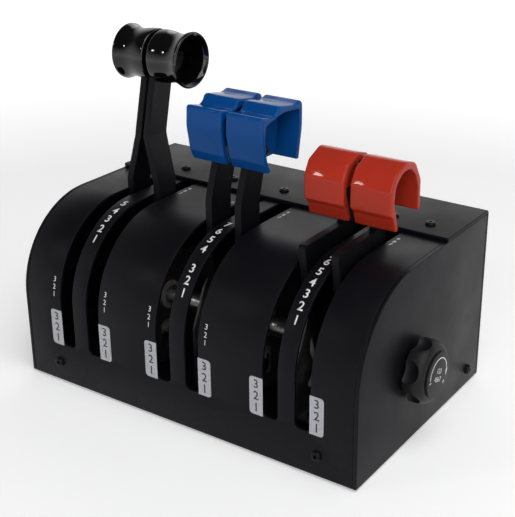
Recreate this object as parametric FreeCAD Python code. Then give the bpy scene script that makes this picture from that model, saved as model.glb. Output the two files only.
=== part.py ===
"""Throttle quadrant for a desk-top flight simulator: six friction-held levers in one housing.

Frame: +Z up, origin on the underside of the base tray at its centre, -Y towards the pilot.
Millimetres. Every lever stands on one pivot shaft that runs along X; a draw knob on the right
clamps the friction discs, and a toothed quadrant on each lever turns its own position sensor.
"""
import math
import os

import FreeCAD
import Part

V = FreeCAD.Vector

# ---- housing ----
end_room = 45.0             # outer group centre to the outside of its side plate
depth = 153.0               # front face to back face
cover_top = 109.5           # upper surface of the curved cover
nose_radius = 56.0          # big bend of the cover
sheet = 2.0                 # cover, lid and tray floor
lid_sheet = 2.5             # lid and back are one bent sheet
side_sheet = 2.5            # side plates
lid_front = 97.5            # distance from the front face to the lid's front edge
lid_lip = 20.0              # cover carried on under the lid
lid_bend = 3.0              # outside radius of the lid's rear bend
seam = 0.1                  # assembly gap between sheets
flange_height = 20.0
flange_sheet = 1.5

# ---- slots and groups ----
group_pitch = 75.0          # between the centres of two lever pairs
slot_offset = 10.5          # slot centre from its group's centre
slot_width = 10.0
slot_foot = 26.0            # lower end of the slots above the base
slot_corner = 3.0
slot_hidden = 5.5           # slot length under the lid

# ---- pivot ----
pivot_back = 62.0           # pivot behind the front face
pivot_height = 46.0
shaft_radius = 4.0
running = 0.05              # radial running clearance
disc_gap = 0.05             # side clearance at a friction disc
disc_thick = 0.8
disc_radius = 11.0
spacer_radius = 6.0
bush_wall = 1.5
bush_flange = 1.0
bush_flange_width = 1.6
washer_thick = 1.2
shaft_head = 3.5

# ---- levers ----
arm_thick = 4.5
arm_hub = 13.0
peg_radius = 2.0
peg_circle = 9.2
power_shift = {"left": 8.25, "right": 6.25}   # inward set of the power arms above their double bend
power_bend_low = 118.0
power_bend_high = 147.0

# ---- gears ----
module = 1.5
sector_teeth = 36
pinion_teeth = 18
pressure_angle = 20.0
backlash = 0.25
sector_thick = 3.0
sector_from = 56.0          # degrees behind the upright arm
sector_to = 212.0
sector_web = 6.0
pinion_thick = 3.7
gear_side_gap = 0.35

# ---- sensors ----
bracket_sheet = 1.5
nut_thick = 2.0
nut_flats = 12.0
nose_thread = 4.5           # radius of the sensor's threaded nose
sensor_radius = 12.0
sensor_length = 9.4
spindle_radius = 3.0
bracket_front = 40.0
bracket_back = 122.0
bracket_top = 70.0

# ---- knobs ----
knob_inset = {              # inner end of each knob from its group's centre
    "power": {"left": -1.8, "right": 4.7},
    "propeller": {"left": 1.0, "right": 2.3},
    "mixture": {"left": 2.0, "right": 2.0},
}
power_knob_length = 23.4
power_rim = 17.1            # at the open outer end
power_inner_rim = 16.2
power_waist = 15.1
power_lip = 1.0
power_bore = 12.9
power_mouth = 13.6
web_thick = 2.5
blue_length = 25.0
red_length = 26.0
boss_wall = 3.0
grip_edge = 0.7             # rounding of the hooded grips' end rims
fit_gap = 0.1

# ---- fasteners ----
screw_radius = 1.5
screw_head = 3.1
screw_head_height = 1.9
screw_socket = 1.2
screw_length = 7.0
knob_screw_radius = 2.0
knob_screw_head = 3.6

lid_screw_back = 13.5       # behind the lid's front edge
lid_screw_step = 39.0
lid_screw_inset = 18.0      # end screws from the outside of the housing
front_screw_inset = 25.0
front_screw_z = 13.0
side_screw_inset = 16.0
side_screw_z = 10.0

# ---- friction knob ----
grip_radius = 18.5
grip_length = 12.2
grip_lobes = 6
grip_scallop = 9.0          # radius of each finger scallop
grip_scallop_depth = 2.6
grip_stand_off = 1.6
cap_radius = 15.2
cap_thick = 1.4
insert_radius = 6.5

# ---- electronics and feet ----
board = (30.0, 62.0, 1.6)
board_height = 9.0
stand_radius = 2.5
socket_size = (9.0, 9.0, 3.3)
foot_radius = 8.0
foot_thick = 1.5
foot_inset = 20.0           # foot centres from the sides
foot_setback = 18.5         # foot centres from the front and back

# ---- worked out ----
front = -depth / 2
back = depth / 2
width = 2 * (group_pitch + end_room)
half = width / 2
inner_half = half - side_sheet
pivot_y = front + pivot_back
lid_y = front + lid_front
slot_end = lid_y + slot_hidden
lid_top = cover_top + lid_sheet
nose_y = front + nose_radius
nose_z = cover_top - nose_radius
sector_pitch = module * sector_teeth / 2
pinion_pitch = module * pinion_teeth / 2
pinion_y = pivot_y + sector_pitch + pinion_pitch
arm_in = slot_offset - arm_thick / 2
arm_out = slot_offset + arm_thick / 2
sector_out = arm_out + sector_thick
stack_in = arm_in - disc_gap
stack_out = sector_out + disc_gap
disc_out = stack_out + disc_thick
pinion_in = arm_out - gear_side_gap
pinion_out = pinion_in + pinion_thick
cheek_in = pinion_out + gear_side_gap + nut_thick
cheek_out = cheek_in + bracket_sheet
groups = {"power": -group_pitch, "propeller": 0.0, "mixture": group_pitch}
sides = {"left": -1, "right": 1}

os.makedirs("parts", exist_ok=True)


def save(name, *solids):
    """Write one node; a group of separate solids goes in one file."""
    shape = solids[0] if len(solids) == 1 else Part.makeCompound(list(solids))
    shape.exportStep("parts/" + name + ".step")


def box(x0, x1, y0, y1, z0, z1):
    return Part.makeBox(x1 - x0, y1 - y0, z1 - z0, V(x0, y0, z0))


def rod(x0, x1, radius, y=pivot_y, z=pivot_height):
    """Round bar along X."""
    return Part.makeCylinder(radius, x1 - x0, V(x0, y, z), V(1, 0, 0))


def ring(x0, x1, radius, bore, y=pivot_y, z=pivot_height):
    return rod(x0, x1, radius, y, z).cut(rod(x0 - 1, x1 + 1, bore, y, z))


def outline(points, place):
    """Closed wire through corners (a, b, radius), each corner rounded by a tangent arc."""
    edges = []
    ends = []
    count = len(points)
    for i, (a, b, radius) in enumerate(points):
        corner = V(a, b, 0)
        before = V(*points[i - 1][:2], 0) - corner
        after = V(*points[(i + 1) % count][:2], 0) - corner
        before.normalize()
        after.normalize()
        half_turn = before.getAngle(after) / 2
        if radius <= 0:
            ends.append((corner, None, corner))
            continue
        run = radius / math.tan(half_turn)
        middle = before + after
        middle.normalize()
        tip = corner + middle * (radius / math.sin(half_turn) - radius)
        ends.append((corner + before * run, tip, corner + after * run))
    for i, (start, tip, end) in enumerate(ends):
        if tip is not None:
            arc = Part.Arc(place(start.x, start.y), place(tip.x, tip.y), place(end.x, end.y))
            edges.append(arc.toShape())
        following = ends[(i + 1) % count][0]
        if end.distanceToPoint(following) > 1e-6:
            edges.append(Part.makeLine(place(end.x, end.y), place(following.x, following.y)))
    return Part.Wire(edges)


def plate(points, x0, x1):
    """Plate of side outline (y, z, radius) between two X planes."""
    wire = outline(points, lambda a, b: V(x0, a, b))
    return Part.Face(wire).extrude(V(x1 - x0, 0, 0))


def mirrored(shape, side):
    """Group-local shape for the right lever, turned into the left one where side is -1."""
    return shape if side > 0 else shape.mirror(V(0, 0, 0), V(1, 0, 0))


def screw(point, direction, radius=screw_radius, head=screw_head, length=screw_length):
    """Button-head socket screw whose head seats at point and stands along direction."""
    base = V(*point)
    way = V(*direction)
    body = Part.makeCylinder(head, screw_head_height, base, way)
    rim = [e for e in body.Edges if abs((e.CenterOfMass - base).dot(way) - screw_head_height) < 0.01]
    body = body.makeFillet(screw_head_height * 0.7, rim)
    body = body.fuse(Part.makeCylinder(radius, length, base, way * -1))
    return body.cut(Part.makeCylinder(screw_socket, screw_head_height, base + way * 0.7, way))


def hole(point, direction, depth_through, radius=screw_radius):
    """Clearance hole for a screw, centred on its seat."""
    way = V(*direction)
    start = V(*point) - way * depth_through
    return Part.makeCylinder(radius + fit_gap, 2 * depth_through, start, way)


# ---- screw places ----
lid_screw_y = lid_y + lid_screw_back
lid_screw_end = half - lid_screw_inset
lid_screw_x = [-lid_screw_end] + [k * lid_screw_step for k in range(-2, 3)] + [lid_screw_end]
front_screw_x = (-half + front_screw_inset, half - front_screw_inset)
side_screw_y = back - side_screw_inset
lid_screws = [((x, lid_screw_y, lid_top), (0, 0, 1)) for x in lid_screw_x]
front_screws = [((x, front, front_screw_z), (0, -1, 0)) for x in front_screw_x]
side_screws = [((s * half, side_screw_y, side_screw_z), (s, 0, 0)) for s in (-1, 1)]
back_screws = [((x, back, side_screw_z), (0, 1, 0)) for x in front_screw_x]


def drilled(shape, places, through):
    for point, way in places:
        shape = shape.cut(hole(point, way, through))
    return shape


# ---- housing ----
def cover_profile(inset, foot, rear):
    """Side outline of the cover's outer (inset 0) or inner surface, from the foot to the rear."""
    radius = nose_radius - inset
    low = V(0, front + inset, foot)
    rise = V(0, front + inset, nose_z)
    bow = V(0, nose_y - radius * math.sin(math.pi / 4), nose_z + radius * math.cos(math.pi / 4))
    crest = V(0, nose_y, nose_z + radius)
    end = V(0, rear, nose_z + radius)
    return [low, rise, bow, crest, end]


def profile_edges(points):
    low, rise, bow, crest, end = points
    return [Part.makeLine(low, rise), Part.Arc(rise, bow, crest).toShape(), Part.makeLine(crest, end)]


def front_cover():
    rear = lid_y + lid_lip
    outer = cover_profile(0, 0, rear)
    inner = cover_profile(sheet, 0, rear)
    ends = [Part.makeLine(outer[-1], inner[-1]), Part.makeLine(inner[0], outer[0])]
    face = Part.Face(Part.Wire(Part.__sortEdges__(profile_edges(outer) + profile_edges(inner) + ends)))
    face.translate(V(-inner_half, 0, 0))
    shell = face.extrude(V(2 * inner_half, 0, 0))
    for centre in groups.values():
        for side in sides.values():
            x = centre + side * slot_offset
            slot = box(x - slot_width / 2, x + slot_width / 2, front - 1, slot_end, slot_foot, lid_top)
            foot_edges = [e for e in slot.Edges
                          if abs(e.CenterOfMass.z - slot_foot) < 0.01 and abs(e.tangentAt(0).y) > 0.9]
            shell = shell.cut(slot.makeFillet(slot_corner, foot_edges))
    shell = drilled(shell, lid_screws, lid_sheet + 2 * sheet)
    return drilled(shell, front_screws, 2 * sheet)


def side_plate(side):
    rear = back - lid_sheet - seam
    edges = profile_edges(cover_profile(0, 0, rear))
    foot = V(0, rear, 0)
    edges.append(Part.makeLine(V(0, rear, cover_top), foot))
    edges.append(Part.makeLine(foot, V(0, front, 0)))
    face = Part.Face(Part.Wire(edges))
    face.translate(V(inner_half if side > 0 else -half, 0, 0))
    shape = face.extrude(V(side_sheet, 0, 0))
    bent_corner = [e for e in shape.Edges
                   if abs(e.CenterOfMass.y - rear) < 0.01 and abs(e.CenterOfMass.z - cover_top) < 0.01]
    shape = shape.makeFillet(lid_bend - lid_sheet + seam, bent_corner)
    shape = drilled(shape, side_screws, 2 * side_sheet)
    if side > 0:
        shape = shape.cut(rod(0, width, insert_radius + 0.7))
    return shape


def lid_and_back():
    in_y = back - lid_sheet
    in_z = cover_top
    points = [(lid_y, in_z, 0), (lid_y, lid_top, 0.6), (back, lid_top, lid_bend), (back, 0, 0),
              (in_y, 0, 0), (in_y, in_z, lid_bend - lid_sheet)]
    shape = plate(points, -half, half)
    shape = drilled(shape, lid_screws, 2 * lid_sheet)
    shape = drilled(shape, back_screws, 2 * lid_sheet)
    return shape.cut(box(board_x - socket_size[0] / 2 - 0.3, board_x + socket_size[0] / 2 + 0.3, in_y - 1, back + 1,
                         socket_z - 0.3, socket_z + socket_size[2] + 0.3))


def base_tray():
    x1 = inner_half - seam
    y0 = front + sheet + seam
    y1 = back - lid_sheet - seam
    relief = 6.0
    shape = box(-x1, x1, y0, y1, 0, sheet)
    walls = [box(-x1 + relief, x1 - relief, y0, y0 + flange_sheet, 0, flange_height),
             box(-x1 + relief, x1 - relief, y1 - flange_sheet, y1, 0, flange_height),
             box(-x1, -x1 + flange_sheet, y0 + relief, y1 - relief, 0, flange_height),
             box(x1 - flange_sheet, x1, y0 + relief, y1 - relief, 0, flange_height)]
    shape = shape.fuse(walls).removeSplitter()
    shape = drilled(shape, front_screws + side_screws + back_screws, 8.0)
    for point, way in bracket_screw_places:
        shape = shape.cut(hole(point, way, 2 * (sheet + bracket_sheet)))
    for point, way in stand_places:
        shape = shape.cut(hole(point, way, 2 * socket_z))
    return shape.cut(box(board_x - socket_size[0], board_x + socket_size[0], y1 - 3, y1 + 1,
                         socket_z - 1, flange_height + 1))


# ---- pivot stack ----
def sensor_bracket():
    """U-shaped sheet bracket: a foot on the tray and two cheeks that carry shaft and sensors."""
    y0 = front + bracket_front
    y1 = front + bracket_back
    points = [(y0, sheet, 0), (y1, sheet, 0), (y1, pivot_height + 4, 10), (pinion_y + 8, bracket_top, 12),
              (pivot_y - 8, bracket_top, 12), (y0, pivot_height - 6, 10)]
    shape = plate(points, -cheek_out, cheek_out).cut(
        box(-cheek_in, cheek_in, y0 - 1, y1 + 1, sheet + bracket_sheet, bracket_top + 1))
    bush_hole = spacer_radius + running + bush_wall
    shape = shape.cut(rod(-cheek_out - 1, cheek_out + 1, bush_hole + 0.02))
    shape = shape.cut(rod(-cheek_out - 1, cheek_out + 1, nose_thread + fit_gap, pinion_y))
    window = [(y0 + 12, sheet + 9, 4), (pivot_y + 4, sheet + 9, 4), (pivot_y + 4, pivot_height - 16, 4),
              (y0 + 12, pivot_height - 16, 4)]
    shape = shape.cut(plate(window, -cheek_out - 1, cheek_out + 1))
    for point, way in local_bracket_screws:
        shape = shape.cut(hole(point, way, 4.0))
    return shape


def bush(side):
    """Flanged bush pressed in a cheek; a spacer tube runs through it."""
    bore = spacer_radius + running
    body = ring(cheek_in, cheek_out + bush_flange, bore + bush_wall, bore)
    body = body.fuse(ring(cheek_out, cheek_out + bush_flange, bore + bush_wall + bush_flange_width, bore))
    return mirrored(body.removeSplitter(), side)


local_bracket_screws = [((x, y, sheet + bracket_sheet), (0, 0, 1))
                        for x in (-slot_offset - 2, slot_offset + 2)
                        for y in (front + bracket_front + 7, front + bracket_back - 7)]
bracket_screw_places = [((p[0] + centre, p[1], p[2]), way)
                        for centre in groups.values() for p, way in local_bracket_screws]
socket_z = sheet + board_height + board[2]
board_back = back - lid_sheet - seam - flange_sheet - 0.4
board_x = group_pitch / 2     # between the propeller and mixture brackets
board_front = board_back - board[1]
stand_places = [((x, y, sheet + board_height + board[2]), (0, 0, 1))
                for x in (board_x - board[0] / 2 + 4, board_x + board[0] / 2 - 4)
                for y in (board_front + 4, board_back - 4)]


def spacers():
    centre_tube = ring(-stack_in + disc_thick, stack_in - disc_thick, spacer_radius, shaft_radius + running)
    tubes = []
    for centre in groups.values():
        tube = centre_tube.copy()
        tube.translate(V(centre, 0, 0))
        tubes.append(tube)
    for start in (-group_pitch, 0.0):
        tubes.append(ring(start + disc_out, start + group_pitch - disc_out, spacer_radius,
                          shaft_radius + running))
    tubes.append(ring(stack_left, -group_pitch - disc_out, spacer_radius, shaft_radius + running))
    tubes.append(ring(group_pitch + disc_out, stack_right, spacer_radius, shaft_radius + running))
    return tubes


stack_left = -group_pitch - cheek_out - 6.0
stack_right = group_pitch + cheek_out + 12.0
insert_in = stack_right + washer_thick
grip_in = half + grip_stand_off
grip_out = grip_in + grip_length


def spring_washers():
    left = ring(stack_left - washer_thick, stack_left, disc_radius - 2, shaft_radius + running)
    right = ring(stack_right, stack_right + washer_thick - disc_gap, disc_radius - 2, shaft_radius + running)
    return left, right


def pivot_shaft():
    x0 = stack_left - washer_thick
    shaft = rod(x0 - shaft_head, grip_out - 3, shaft_radius)
    return shaft.fuse(rod(x0 - shaft_head, x0, disc_radius - 3)).removeSplitter()


def friction_discs():
    discs = []
    for centre in groups.values():
        for side in sides.values():
            for x0 in (stack_in - disc_thick, stack_out):
                disc = mirrored(ring(x0, x0 + disc_thick, disc_radius, shaft_radius + running), side)
                disc.translate(V(centre, 0, 0))
                discs.append(disc)
    return discs


# ---- sensors and gears ----
def gear_face(teeth, x, phase):
    """Involute spur gear outline in the plane X = x, centred on Y = Z = 0."""
    pitch = module * teeth / 2
    base = pitch * math.cos(math.radians(pressure_angle))
    root = pitch - 1.25 * module
    tip = pitch + module

    def polar_offset(radius):
        t = math.sqrt(max((radius / base) ** 2 - 1, 0))
        return t - math.atan(t)

    half_tooth = math.pi / (2 * teeth) - backlash / (4 * pitch) + polar_offset(pitch)
    radii = [root, max(base, root + 0.05), pitch, tip]
    points = []
    for tooth in range(teeth):
        middle = 2 * math.pi * tooth / teeth + phase
        rise = [(r, middle - half_tooth + polar_offset(r)) for r in radii]
        fall = [(r, 2 * middle - a) for r, a in reversed(rise)]
        points += [V(x, r * math.sin(a), r * math.cos(a)) for r, a in rise + fall]
    return Part.Face(Part.makePolygon(points + points[:1]))


def sector_gear():
    """Toothed quadrant with two pegs that key it to its arm."""
    x0 = arm_out
    x1 = sector_out
    toothed = gear_face(sector_teeth, x0, math.pi / 2).extrude(V(sector_thick, 0, 0))
    rim_inside = sector_pitch - 1.25 * module - sector_web
    reach = sector_pitch + 3 * module
    wedge = [V(x0, 0, 0)]
    steps = 8
    for i in range(steps + 1):
        a = math.radians(sector_from + (sector_to - sector_from) * i / steps)
        wedge.append(V(x0, reach * math.sin(a), reach * math.cos(a)))
    wedge = Part.Face(Part.makePolygon(wedge + wedge[:1])).extrude(V(sector_thick, 0, 0))
    shape = toothed.common(wedge)
    window = Part.makeCylinder(rim_inside, sector_thick + 2, V(x0 - 1, 0, 0), V(1, 0, 0))
    window = window.cut(Part.makeCylinder(arm_hub, sector_thick + 4, V(x0 - 2, 0, 0), V(1, 0, 0)))
    spoke_angles = [sector_from + 8, (sector_from + sector_to) / 2, sector_to - 8]
    for angle in spoke_angles:
        spoke = Part.makeBox(sector_thick + 4, sector_web, reach, V(x0 - 2, -sector_web / 2, 0))
        spoke.rotate(V(0, 0, 0), V(1, 0, 0), -angle)
        window = window.cut(spoke)
    shape = shape.cut(window)
    shape = shape.fuse(Part.makeCylinder(arm_hub, sector_thick, V(x0, 0, 0), V(1, 0, 0)))
    for angle in (-60, 120):
        y = peg_circle * math.sin(math.radians(angle))
        z = peg_circle * math.cos(math.radians(angle))
        shape = shape.fuse(Part.makeCylinder(peg_radius, arm_thick + 0.5, V(arm_in, y, z), V(1, 0, 0)))
    shape = shape.removeSplitter()
    shape.translate(V(0, pivot_y, pivot_height))
    return shape.cut(rod(arm_in - 1, x1 + 1, shaft_radius + running))


def sensor():
    """Rotary sensor: round can, threaded nose through the cheek, three solder tags."""
    can = rod(cheek_out, cheek_out + sensor_length, sensor_radius, pinion_y)
    rim = [e for e in can.Edges if abs(e.CenterOfMass.x - cheek_out - sensor_length) < 0.01]
    can = can.makeFillet(1.0, rim)
    can = can.fuse(rod(cheek_in - nut_thick, cheek_out, nose_thread, pinion_y))
    for y in (-4.0, 0.0, 4.0):
        tag = box(cheek_out + 3, cheek_out + 3.8, pinion_y + y - 1, pinion_y + y + 1,
                  pivot_height - sensor_radius - 5, pivot_height - sensor_radius + 2)
        can = can.fuse(tag)
    can = can.removeSplitter()
    return can.cut(rod(cheek_in - nut_thick - 1, cheek_out + sensor_length - 2, spindle_radius + running,
                       pinion_y))


def sensor_nut():
    corner = nut_flats / math.sqrt(3)
    points = [(pinion_y + corner * math.cos(math.radians(60 * i)),
               pivot_height + corner * math.sin(math.radians(60 * i)), 0) for i in range(6)]
    nut = plate(points, cheek_in - nut_thick, cheek_in)
    return nut.cut(rod(cheek_in - nut_thick - 1, cheek_in + 1, nose_thread + 0.02, pinion_y))


def rotor():
    """Pinion and the steel spindle it is pressed on."""
    gear = gear_face(pinion_teeth, pinion_in, -math.pi / 2 + math.pi / pinion_teeth)
    gear = gear.extrude(V(pinion_thick, 0, 0))
    gear.translate(V(0, pinion_y, pivot_height))
    gear = gear.cut(rod(pinion_in - 1, pinion_out + 1, spindle_radius, pinion_y))
    spindle = rod(pinion_in, cheek_out + sensor_length - 2.5, spindle_radius, pinion_y)
    return gear, spindle


# ---- lever arms (right-hand lever, group-local X) ----
def at(y, z, radius=0.0):
    """Corner given from the front face and the base."""
    return (front + y, z, radius)


arm_outlines = {
    "power": [at(64.2, 62, 20), at(64.2, 147, 30), at(76.0, 196, 7.5), at(91.5, 192, 7.5),
              at(81.0, 147, 30), at(80.3, 70, 24), at(75, 46, 0), at(62, 46, 0), at(49, 46, 0)],
    "propeller": [at(47.2, 66, 24), at(47.2, 124, 20), at(60.0, 162, 2), at(76.5, 158, 2),
                  at(66.0, 124, 20), at(66.0, 70, 24), at(75, 46, 0), at(62, 46, 0), at(49, 46, 0)],
    "mixture": [at(35.5, 90, 18), at(31.0, 118, 2.5), at(72.5, 118, 2), at(72.5, 151, 2),
                at(83.6, 151, 2), at(82.8, 104, 8), at(54.0, 100, 8), at(75, 46, 0), at(62, 46, 0),
                at(49, 46, 0)],
}


def inward(kind, hand):
    """How far a lever's upper arm is set towards its group's centre."""
    return power_shift[hand] if kind == "power" else 0.0


def lever_arm(kind, hand):
    high = 220.0
    shift = inward(kind, hand)
    shape = plate(arm_outlines[kind], arm_in - shift - 1, arm_out + 1)
    bend = [(arm_in, 0), (arm_out, 0), (arm_out, power_bend_low), (arm_out - shift, power_bend_high),
            (arm_out - shift, high), (arm_in - shift, high), (arm_in - shift, power_bend_high),
            (arm_in, power_bend_low)]
    if not shift:
        bend = [(arm_in, 0), (arm_out, 0), (arm_out, high), (arm_in, high)]
    strip = Part.Face(Part.makePolygon([V(a, front, b) for a, b in bend + bend[:1]]))
    shape = shape.common(strip.extrude(V(0, depth, 0)))
    shape = shape.fuse(rod(arm_in, arm_out, arm_hub)).removeSplitter()
    shape = shape.cut(rod(arm_in - 1, arm_out + 1, shaft_radius + running))
    for angle in (-60, 120):
        y = pivot_y + peg_circle * math.sin(math.radians(angle))
        z = pivot_height + peg_circle * math.cos(math.radians(angle))
        shape = shape.cut(rod(arm_in - 1, arm_out + 1, peg_radius + 0.03, y, z))
    x, y, z = knob_screw_at(kind, hand)
    return shape.cut(rod(-30, 30, knob_screw_radius + fit_gap, y, z))


# ---- knobs ----
power_centre = (front + 82.6, 194.4)
knob_screw_place = {
    "power": power_centre,
    "propeller": (front + 66.0, 153.0),
    "mixture": (front + 78.5, 145.0),
}


def knob_screw_at(kind, hand):
    """Seat of a knob's screw: on the web of a power knob, on the boss of the others."""
    wall = web_thick if kind == "power" else boss_wall
    y, z = knob_screw_place[kind]
    return arm_out - inward(kind, hand) + fit_gap + wall, y, z


def power_knob(hand):
    """Flared tube open at its outer end, closed near the arm by a web that the screw clamps."""
    x0 = knob_inset["power"][hand]
    x1 = x0 + power_knob_length
    narrow = x0 + 0.6 * power_knob_length
    lip = power_lip
    corner = lip * (1 - math.sqrt(0.5))
    cy, cz = power_centre
    outer = Part.Arc(V(x0 + lip, power_inner_rim, 0), V(narrow, power_waist, 0), V(x1 - lip, power_rim, 0))
    start_lip = Part.Arc(V(x0, power_inner_rim - lip, 0), V(x0 + corner, power_inner_rim - corner, 0),
                         V(x0 + lip, power_inner_rim, 0))
    end_lip = Part.Arc(V(x1 - lip, power_rim, 0), V(x1 - corner, power_rim - corner, 0),
                       V(x1, power_rim - lip, 0))
    web0 = arm_out - inward("power", hand) + fit_gap
    web1 = web0 + web_thick
    inner = [V(x1, power_rim - lip, 0), V(x1, power_mouth, 0), V(x1 - 4, power_bore, 0),
             V(web1, power_bore, 0), V(web1, 0, 0), V(web0, 0, 0), V(web0, power_bore, 0),
             V(x0, power_bore, 0), V(x0, power_inner_rim - lip, 0)]
    edges = [start_lip.toShape(), outer.toShape(), end_lip.toShape(), Part.makePolygon(inner)]
    wire = Part.Wire(Part.__sortEdges__([e for s in edges for e in s.Edges]))
    shape = Part.Face(wire).revolve(V(0, 0, 0), V(1, 0, 0), 360)
    shape.translate(V(0, cy, cz))
    notch = [at(62.9, 150), at(75.2, 196), at(92.6, 192), at(80.5, 150)]
    shape = shape.cut(plate(notch, x0 - 1, web0))
    return shape.cut(rod(-30, 30, knob_screw_radius + fit_gap, cy, cz))


blue_outline = [
    at(54.0, 144.8, 0.9), at(50.4, 151.0, 8), at(47.6, 166.0, 14), at(48.4, 178.8, 1.8),
    at(62.4, 175.7, 5.2), at(65.6, 181.6, 3.2), at(81.4, 178.8, 12), at(90.0, 181.0, 3.2),
    at(89.9, 164.0, 30), at(85.9, 145.4, 1.2), at(82.0, 146.2, 1.2),
    at(86.4, 164.5, 30), at(86.6, 175.4, 3), at(70.0, 177.0, 18), at(51.4, 172.8, 3),
    at(50.8, 166.4, 12), at(53.4, 152.4, 8), at(56.8, 146.2, 0.9)]

red_outline = [
    at(66.2, 122.2, 0.9), at(63.0, 130.4, 1.0), at(59.8, 133.4, 1.5), at(59.6, 147.2, 4), at(64.4, 155.4, 5),
    at(76.0, 160.4, 6), at(87.4, 157.0, 6), at(94.4, 145.6, 6), at(94.5, 127.4, 1.2),
    at(91.2, 127.4, 1.2), at(90.8, 141.0, 10), at(87.8, 148.8, 8), at(81.2, 155.0, 8),
    at(71.6, 155.0, 8), at(64.4, 149.0, 8), at(63.4, 140.0, 6), at(66.0, 131.8, 3), at(69.0, 123.4, 0.9)]


def hooded_knob(kind, hand, profile, length):
    """Shell of one side outline with a boss under its roof that takes the arm's tip."""
    x0 = knob_inset[kind][hand]
    shape = plate(profile, x0, x0 + length)
    rims = [e for e in shape.Edges if e.BoundBox.XLength < 0.001]
    shape = shape.makeFillet(grip_edge, rims)
    boss = plate(boss_outlines[kind], arm_in - fit_gap - boss_wall, arm_out + fit_gap + boss_wall)
    shape = shape.fuse(boss).removeSplitter()
    shape = shape.cut(plate(arm_outlines[kind], arm_in - fit_gap, arm_out + fit_gap))
    x, y, z = knob_screw_at(kind, hand)
    return shape.cut(rod(-30, 30, knob_screw_radius + fit_gap, y, z))


boss_outlines = {
    "propeller": [at(54.6, 149, 1), at(52.0, 153, 0), at(49.5, 166, 0), at(50.5, 174.5, 0),
                  at(82.0, 176.0, 0), at(78.0, 149, 1)],
    "mixture": [at(67.9, 141, 0.5), at(66.8, 152.5, 0), at(72.0, 157.5, 0), at(80.0, 157.5, 0),
                at(87.0, 151.5, 0), at(86.0, 141, 1)],
}


def knob(kind, hand):
    if kind == "power":
        return power_knob(hand)
    if kind == "propeller":
        return hooded_knob(kind, hand, blue_outline, blue_length)
    return hooded_knob(kind, hand, red_outline, red_length)


def knob_screw(kind, hand):
    place = knob_screw_at(kind, hand)
    reach = place[0] - arm_in + inward(kind, hand)
    return screw(place, (1, 0, 0), knob_screw_radius, knob_screw_head, reach)


# ---- friction knob ----
def friction_knob():
    body = rod(grip_in, grip_out, grip_radius)
    rim = [e for e in body.Edges if abs(e.CenterOfMass.x - grip_out) < 0.01]
    body = body.makeChamfer(2.2, rim)
    reach = grip_radius + grip_scallop - grip_scallop_depth
    for i in range(grip_lobes):
        a = 2 * math.pi * (i + 0.5) / grip_lobes
        y = pivot_y + reach * math.sin(a)
        z = pivot_height + reach * math.cos(a)
        body = body.cut(rod(grip_in - 1, grip_out + 1, grip_scallop, y, z))
    body = body.cut(rod(grip_in - 1, grip_out - 2, insert_radius + 0.02))
    return body.cut(rod(grip_out - 1, grip_out + 1, cap_radius - 2.0))


def friction_cap():
    cap = rod(grip_out, grip_out + cap_thick, cap_radius)
    rim = [e for e in cap.Edges if abs(e.CenterOfMass.x - grip_out - cap_thick) < 0.01]
    cap = cap.makeFillet(0.6, rim)
    return cap.fuse(rod(grip_out - 0.9, grip_out, cap_radius - 2.1)).removeSplitter()


def draw_nut():
    nut = rod(insert_in, grip_out - 2.1, insert_radius)
    return nut.cut(rod(insert_in - 1, grip_out - 2.5, shaft_radius + running))


# ---- electronics ----
def controller_board():
    x, y, thick = board
    z0 = sheet + board_height
    shape = box(board_x - x / 2, board_x + x / 2, board_front, board_back, z0, z0 + thick)
    chip_y = board_back - 26
    chip = box(board_x - 5, board_x + 5, chip_y - 5, chip_y + 5, z0 + thick, z0 + thick + 1.4)
    shape = shape.fuse(chip)
    for i in range(6):
        start = board_front + 9 + 4.2 * i
        header = box(board_x - 11, board_x - 4, start, start + 2.4, z0 + thick, z0 + thick + 5)
        shape = shape.fuse(header)
    return drilled(shape, stand_places, 3.0)


def usb_socket():
    x, y, z = socket_size
    y1 = back + 0.2
    shape = box(board_x - x / 2, board_x + x / 2, y1 - y, y1, socket_z, socket_z + z)
    long_edges = [e for e in shape.Edges if abs(e.tangentAt(0).y) > 0.9]
    shape = shape.makeFillet(z / 2 - 0.1, long_edges)
    mouth = box(board_x - x / 2 + 0.35, board_x + x / 2 - 0.35, y1 - y + 2, y1 + 1,
                socket_z + 0.35, socket_z + z - 0.35)
    mouth_edges = [e for e in mouth.Edges if abs(e.tangentAt(0).y) > 0.9]
    tongue = box(board_x - x / 2 + 1.2, board_x + x / 2 - 1.2, y1 - y + 1, y1 - 1, socket_z + z / 2 - 0.35,
                 socket_z + z / 2 + 0.35)
    return shape.cut(mouth.makeFillet(z / 2 - 0.5, mouth_edges)).fuse(tongue).removeSplitter()


# ---- write the nodes ----
save("front_cover", front_cover())
save("left_side_plate", side_plate(-1))
save("right_side_plate", side_plate(1))
save("lid_and_back", lid_and_back())
save("base_tray", base_tray())
save("rubber_feet", *[Part.makeCylinder(foot_radius, foot_thick, V(x, y, -foot_thick))
                      for x in (foot_inset - half, half - foot_inset)
                      for y in (front + foot_setback, back - foot_setback)])
save("lid_screws", *[screw(p, w) for p, w in lid_screws])
save("front_screws", *[screw(p, w) for p, w in front_screws])
save("side_screws", *[screw(p, w) for p, w in side_screws])
save("back_screws", *[screw(p, w) for p, w in back_screws])
save("bracket_screws", *[screw(p, w, length=sheet + bracket_sheet) for p, w in bracket_screw_places])
save("controller_board", controller_board())
save("board_screws", *[screw(p, w, length=board_height + board[2] + sheet) for p, w in stand_places])
save("board_pillars", *[Part.makeCylinder(stand_radius, board_height, V(p[0], p[1], sheet)).cut(
    Part.makeCylinder(screw_radius + fit_gap, board_height, V(p[0], p[1], sheet)))
    for p, w in stand_places])
save("usb_socket", usb_socket())
save("pivot_shaft", pivot_shaft())
save("spacer_tubes", *spacers())
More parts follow.
